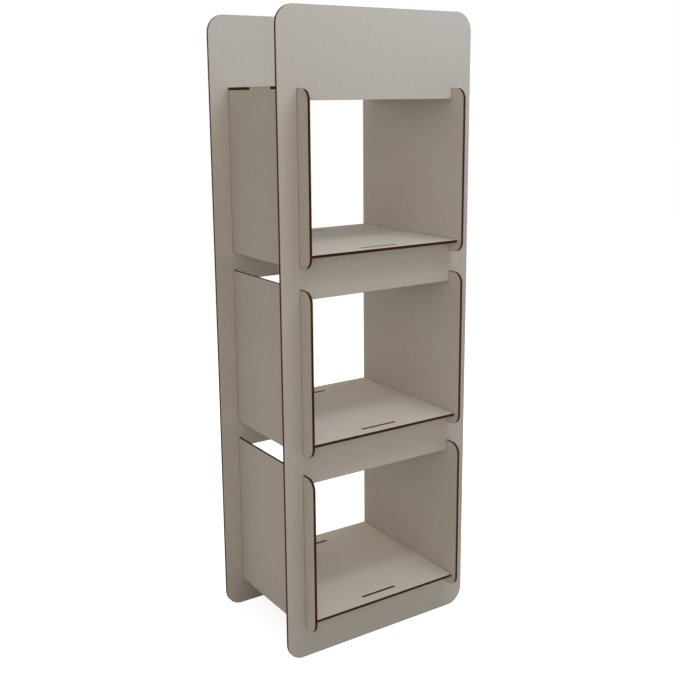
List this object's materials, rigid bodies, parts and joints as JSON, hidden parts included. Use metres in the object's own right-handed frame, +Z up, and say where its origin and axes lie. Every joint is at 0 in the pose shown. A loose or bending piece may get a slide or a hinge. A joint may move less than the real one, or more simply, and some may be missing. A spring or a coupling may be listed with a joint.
{
  "type": "cardboard display stand",
  "caption": "Tall floor display stand of press-together board sheets: round-cornered frames joined by side panels, with open shelves one above another.",
  "frame": {"origin": "on the floor, under the middle of the stand", "axes": "+Z up, the open front faces -Y, +X to the right as seen from the front"},
  "size_m": [0.5, 0.388, 1.422],
  "materials": {
    "white_board": "matt off-white paper face, brown burnt cut edges"
  },
  "bodies": {
    "root": {"front_frame": "white_board", "back_frame": "white_board", "top_panel": "white_board", "left_side_panel_bottom": "white_board", "right_side_panel_bottom": "white_board", "left_side_panel_middle": "white_board", "right_side_panel_middle": "white_board", "left_side_panel_top": "white_board", "right_side_panel_top": "white_board", "shelf_bottom": "white_board", "shelf_middle": "white_board", "shelf_top": "white_board"}
  },
  "joints": []
}
